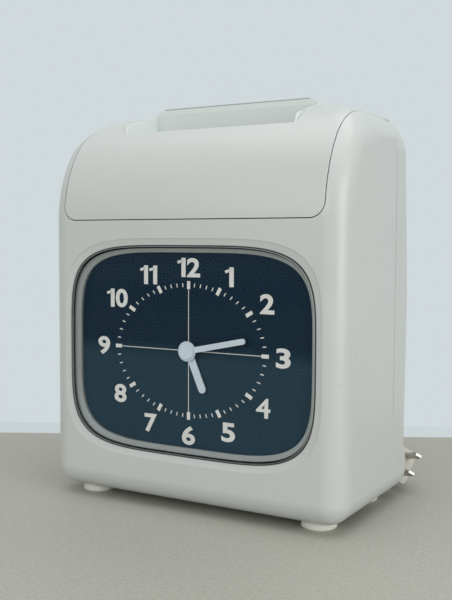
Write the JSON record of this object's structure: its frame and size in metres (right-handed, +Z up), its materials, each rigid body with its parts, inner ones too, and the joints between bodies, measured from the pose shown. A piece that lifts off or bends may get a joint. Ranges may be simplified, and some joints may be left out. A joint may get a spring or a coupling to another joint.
{
  "type": "electronic time clock",
  "caption": "Desk-standing card time recorder with an analogue dial behind a bowed window, a hinged hood with a card slot, a printing carriage, card feed rollers and a coiled mains lead.",
  "frame": {"origin": "middle of the case's footprint, on the table", "axes": "+X right as seen from the front, +Y to the back, +Z up; the dial faces -Y"},
  "size_m": [0.2131, 0.2626, 0.2547],
  "materials": {
    "case_ivory": "moulded, smooth",
    "guide_grey": "moulded, fine texture",
    "foot_cream": "moulded, matt",
    "clear_lens": "clear, polished",
    "seal_black": "matt",
    "bezel_grey": "moulded, smooth",
    "dial_navy": "satin paint with printed scale",
    "hand_paint": "satin paint",
    "steel": "plain",
    "sheet_zinc": "zinc plated sheet",
    "brass": "plain",
    "gear_plastic": "moulded",
    "roller_rubber": "ground",
    "black_plastic": "moulded, fine texture",
    "panel_grey": "moulded",
    "button_blue": "moulded",
    "board_green": "lacquered board",
    "core_iron": "varnished laminations",
    "cord_ivory": "smooth sheath",
    "blade_nickel": "nickel plated"
  },
  "bodies": {
    "case": {"front_case": "case_ivory", "rear_cover": "case_ivory", "feet": "foot_cream", "case_screws": "steel", "rear_leaf": "steel", "hinge_pin": "steel", "lock_body": "steel", "dial_screws": "steel", "guide_rods": "steel", "feed_motor": "steel", "window_lens": "clear_lens", "lens_seal": "seal_black", "dial_bezel": "bezel_grey", "dial_plate": "dial_navy", "movement_frame": "sheet_zinc", "chassis": "sheet_zinc", "chute_front": "sheet_zinc", "chute_rear": "sheet_zinc", "feed_bushes": "brass", "platen": "roller_rubber", "ribbon_cassette": "black_plastic", "step_motor": "black_plastic", "screw_motor": "black_plastic", "control_panel": "panel_grey", "button_board": "board_green", "main_board": "board_green", "transformer": "core_iron", "cord_relief": "cord_ivory", "cord_lead": "cord_ivory", "cord_coil": "cord_ivory", "cord_tail": "cord_ivory", "plug_body": "cord_ivory", "plug_blades": "blade_nickel"},
    "hood": {"top_cover": "case_ivory", "card_guide": "guide_grey", "hood_leaf": "steel"},
    "lock": {"lock_plug": "steel", "lock_cam": "steel"},
    "minute": {"minute_arbor": "brass", "centre_wheel": "brass", "minute_hand": "hand_paint", "hand_cap": "hand_paint"},
    "hour": {"hour_wheel": "gear_plastic", "hour_hand": "hand_paint"},
    "motion": {"minute_wheel": "gear_plastic"},
    "step_rotor": {"motor_pinion": "brass"},
    "feed": {"feed_shaft": "steel", "feed_rollers": "roller_rubber", "feed_gear": "gear_plastic"},
    "feed_rotor": {"feed_pinion": "brass"},
    "pinch": {"pinch_shaft": "steel", "pinch_rollers": "roller_rubber"},
    "carriage": {"print_carriage": "black_plastic", "print_head": "black_plastic"},
    "screw": {"carriage_screw": "steel"},
    "hour_setter": {"hour_button": "button_blue"},
    "minute_setter": {"minute_button": "button_blue"},
    "date_setter": {"date_button": "button_blue"}
  },
  "joints": [
    {"name": "hood_hinge", "type": "hinge", "parent": "case", "child": "hood", "pos_m": [0, 0.035, 0.2446], "axis": [-1, 0, 0], "range_deg": [0, 70]},
    {"name": "lock_turn", "type": "hinge", "parent": "case", "child": "lock", "pos_m": [-0.0975, -0.0025, 0.2002], "axis": [1, 0, 0], "range_deg": [0, 90]},
    {"name": "minute_spin", "type": "hinge", "parent": "case", "child": "minute", "pos_m": [0, -0.0425, 0.0993], "axis": [0, 1, 0], "continuous": true},
    {"name": "hour_spin", "type": "hinge", "parent": "case", "child": "hour", "pos_m": [0, -0.0525, 0.0993], "axis": [0, 1, 0], "continuous": true},
    {"name": "motion_spin", "type": "hinge", "parent": "case", "child": "motion", "pos_m": [0.012, -0.0505, 0.0993], "axis": [0, 1, 0], "continuous": true},
    {"name": "step_spin", "type": "hinge", "parent": "case", "child": "step_rotor", "pos_m": [0, -0.0385, 0.08055], "axis": [0, 1, 0], "continuous": true},
    {"name": "feed_spin", "type": "hinge", "parent": "case", "child": "feed", "pos_m": [0, 0.0039, 0.1502], "axis": [1, 0, 0], "continuous": true},
    {"name": "feed_rotor_spin", "type": "hinge", "parent": "case", "child": "feed_rotor", "pos_m": [-0.085, 0.0247, 0.1502], "axis": [1, 0, 0], "continuous": true},
    {"name": "pinch_spin", "type": "hinge", "parent": "case", "child": "pinch", "pos_m": [0, -0.0107, 0.1502], "axis": [1, 0, 0], "continuous": true},
    {"name": "carriage_slide", "type": "slide", "parent": "case", "child": "carriage", "axis": [1, 0, 0], "range_m": [-0.03, 0.03]},
    {"name": "screw_spin", "type": "hinge", "parent": "case", "child": "screw", "pos_m": [0, -0.023, 0.20375], "axis": [1, 0, 0], "range_deg": [-545, 545]},
    {"name": "hour_press", "type": "slide", "parent": "case", "child": "hour_setter", "axis": [0, 0, -1], "range_m": [0, 0.001], "stiffness_N_per_m": 200, "springref_m": -0.0015},
    {"name": "minute_press", "type": "slide", "parent": "case", "child": "minute_setter", "axis": [0, 0, -1], "range_m": [0, 0.001], "stiffness_N_per_m": 200, "springref_m": -0.0015},
    {"name": "date_press", "type": "slide", "parent": "case", "child": "date_setter", "axis": [0, 0, -1], "range_m": [0, 0.001], "stiffness_N_per_m": 200, "springref_m": -0.0015}
  ],
  "couplings": [
    {"joint": "hour_spin", "follows": "minute_spin", "ratio": 0.083333},
    {"joint": "motion_spin", "follows": "minute_spin", "ratio": -0.33333},
    {"joint": "step_spin", "follows": "minute_spin", "ratio": -4},
    {"joint": "feed_rotor_spin", "follows": "feed_spin", "ratio": -3.3333},
    {"joint": "pinch_spin", "follows": "feed_spin", "ratio": -1.3333},
    {"joint": "screw_spin", "follows": "carriage_slide", "rad_per_m": 314.16}
  ]
}
